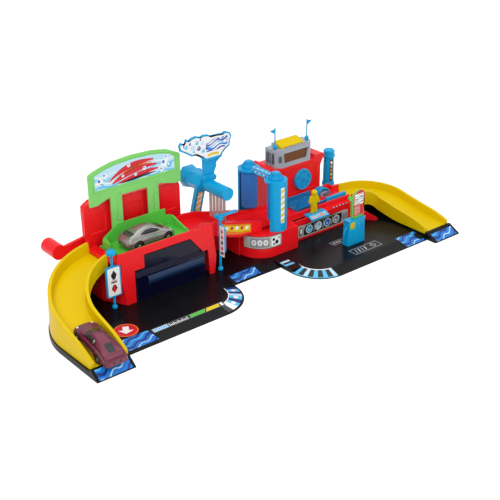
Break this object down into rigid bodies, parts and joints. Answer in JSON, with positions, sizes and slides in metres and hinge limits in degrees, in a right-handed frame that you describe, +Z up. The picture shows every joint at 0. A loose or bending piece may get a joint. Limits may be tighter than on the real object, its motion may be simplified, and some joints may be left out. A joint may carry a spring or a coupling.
{
  "type": "toy car wash playset",
  "caption": "Toy car wash for small toy cars: a lever-driven dunk lift, a sloped track past turning rollers and a curtain, a control tower and a curved chute at each end.",
  "frame": {"origin": "middle of the floor area the playset covers, at floor level", "axes": "+X to the right along the playset, +Y to its back (the control tower's side), +Z up"},
  "size_m": [0.5806, 0.215, 0.1725],
  "materials": {
    "black_abs": "satin",
    "yellow_abs": "gloss",
    "red_abs": "gloss",
    "navy_clear": "clear gloss",
    "green_abs": "gloss",
    "blue_abs": "gloss",
    "blue_clear": "clear gloss",
    "grey_abs": "satin",
    "roller_foam": "matte",
    "curtain_vinyl": "matte",
    "amber_clear": "clear gloss",
    "sign_abs": "gloss",
    "screw_steel": "satin",
    "silver_paint": "metallic gloss",
    "purple_paint": "metallic gloss",
    "car_glass": "clear gloss",
    "car_chassis": "satin",
    "car_wheels": "gloss"
  },
  "bodies": {
    "playset": {"base_left": "black_abs", "base_middle": "black_abs", "base_right": "black_abs", "left_chute": "yellow_abs", "right_chute": "yellow_abs", "garage_shell": "red_abs", "chute_inlet": "red_abs", "lift_back_wall": "red_abs", "dunk_tank": "navy_clear", "garage_rear_cover": "red_abs", "left_sign_post": "blue_abs", "lever_pivot_pin": "grey_abs", "ramp_track": "red_abs", "wash_station": "red_abs", "rear_roller_stand": "red_abs", "roller_frame": "blue_abs", "gantry": "blue_abs", "splash_sign": "blue_abs", "middle_sign_post": "blue_abs", "wash_bay": "red_abs", "wash_basin": "blue_clear", "wash_rail": "blue_abs", "dryer_hood": "blue_abs", "dryer_grille": "grey_abs", "tower_shell": "red_abs", "tower_rear_cover": "red_abs", "tower_cabin": "grey_abs", "cabin_window": "amber_clear", "water_column": "blue_abs", "chute_bracket": "red_abs", "pump_body": "blue_abs", "pump_sign": "sign_abs"},
    "lever": {"lever": "red_abs"},
    "lift": {"lift_tray": "green_abs", "lift_sign": "green_abs", "lift_carriage": "grey_abs", "carriage_screws": "screw_steel"},
    "front_roller": {"roller_front": "roller_foam", "spindle_front": "grey_abs"},
    "rear_roller": {"roller_rear": "roller_foam", "spindle_rear": "grey_abs"},
    "curtain": {"wash_curtain": "curtain_vinyl"},
    "boom": {"boom_arm": "blue_abs"},
    "slider": {"wash_slider": "blue_abs", "attendant_figure": "yellow_abs"},
    "dial": {"tower_dial": "blue_abs"},
    "hatch": {"tower_hatch": "yellow_abs"},
    "left_flag": {"flag_left": "blue_abs"},
    "right_flag": {"flag_right": "blue_abs"},
    "silver_car": {"silver_car_body": "silver_paint", "silver_car_windows": "car_glass", "silver_car_chassis": "car_chassis"},
    "silver_front_wheels": {"silver_car_front_axle": "car_wheels"},
    "silver_rear_wheels": {"silver_car_rear_axle": "car_wheels"},
    "purple_car": {"purple_car_body": "purple_paint", "purple_car_windows": "car_glass", "purple_car_chassis": "car_chassis"},
    "purple_front_wheels": {"purple_car_front_axle": "car_wheels"},
    "purple_rear_wheels": {"purple_car_rear_axle": "car_wheels"}
  },
  "joints": [
    {"name": "lever_turn", "type": "hinge", "parent": "playset", "child": "lever", "pos_m": [-0.17575, 0.0765, 0.066], "axis": [0, 1, 0], "range_deg": [0, 42]},
    {"name": "lift_travel", "type": "slide", "parent": "playset", "child": "lift", "axis": [0, 0, 1], "range_m": [-0.0373, 0]},
    {"name": "front_roller_spin", "type": "hinge", "parent": "playset", "child": "front_roller", "pos_m": [0.05725, 0.0122, 0.076], "axis": [0, 0, 1], "continuous": true},
    {"name": "rear_roller_spin", "type": "hinge", "parent": "playset", "child": "rear_roller", "pos_m": [0.05725, 0.0668, 0.076], "axis": [0, 0, 1], "continuous": true},
    {"name": "curtain_swing", "type": "hinge", "parent": "playset", "child": "curtain", "pos_m": [-0.01575, 0.0415, 0.102], "axis": [0, 1, 0], "range_deg": [-35, 35]},
    {"name": "boom_lift", "type": "hinge", "parent": "playset", "child": "boom", "pos_m": [-0.03575, 0.0155, 0.078], "axis": [0, -1, 0], "range_deg": [0, 80]},
    {"name": "slider_travel", "type": "slide", "parent": "playset", "child": "slider", "axis": [1, 0, 0], "range_m": [-0.021, 0]},
    {"name": "dial_turn", "type": "hinge", "parent": "playset", "child": "dial", "pos_m": [0.15225, 0.0645, 0.065], "axis": [0, 1, 0], "continuous": true},
    {"name": "hatch_open", "type": "hinge", "parent": "playset", "child": "hatch", "pos_m": [0.13625, 0.0865, 0.1187], "axis": [-1, 0, 0], "range_deg": [0, 70]},
    {"name": "left_flag_turn", "type": "hinge", "parent": "playset", "child": "left_flag", "pos_m": [0.10895, 0.0735, 0.12], "axis": [0, 0, 1], "continuous": true},
    {"name": "right_flag_turn", "type": "hinge", "parent": "playset", "child": "right_flag", "pos_m": [0.16725, 0.0735, 0.12], "axis": [0, 0, 1], "continuous": true},
    {"name": "silver_car_lift_off", "type": "slide", "parent": "lift", "child": "silver_car", "axis": [0, 0, 1], "range_m": [0, 0.03]},
    {"name": "silver_front_wheels_spin", "type": "hinge", "parent": "silver_car", "child": "silver_front_wheels", "pos_m": [-0.108, 0.0345, 0.0715], "axis": [0, 1, 0], "continuous": true},
    {"name": "silver_rear_wheels_spin", "type": "hinge", "parent": "silver_car", "child": "silver_rear_wheels", "pos_m": [-0.1495, 0.0345, 0.0715], "axis": [0, 1, 0], "continuous": true},
    {"name": "purple_car_lift_off", "type": "slide", "parent": "playset", "child": "purple_car", "axis": [0, 0, 1], "range_m": [0, 0.03]},
    {"name": "purple_front_wheels_spin", "type": "hinge", "parent": "purple_car", "child": "purple_front_wheels", "pos_m": [-0.26425, -0.04457, 0.02572], "axis": [1, 0, 0], "continuous": true},
    {"name": "purple_rear_wheels_spin", "type": "hinge", "parent": "purple_car", "child": "purple_rear_wheels", "pos_m": [-0.26425, -0.08496, 0.01618], "axis": [1, 0, 0], "continuous": true}
  ],
  "couplings": [
    {"joint": "lift_travel", "follows": "lever_turn", "m_per_rad": -0.050844}
  ]
}
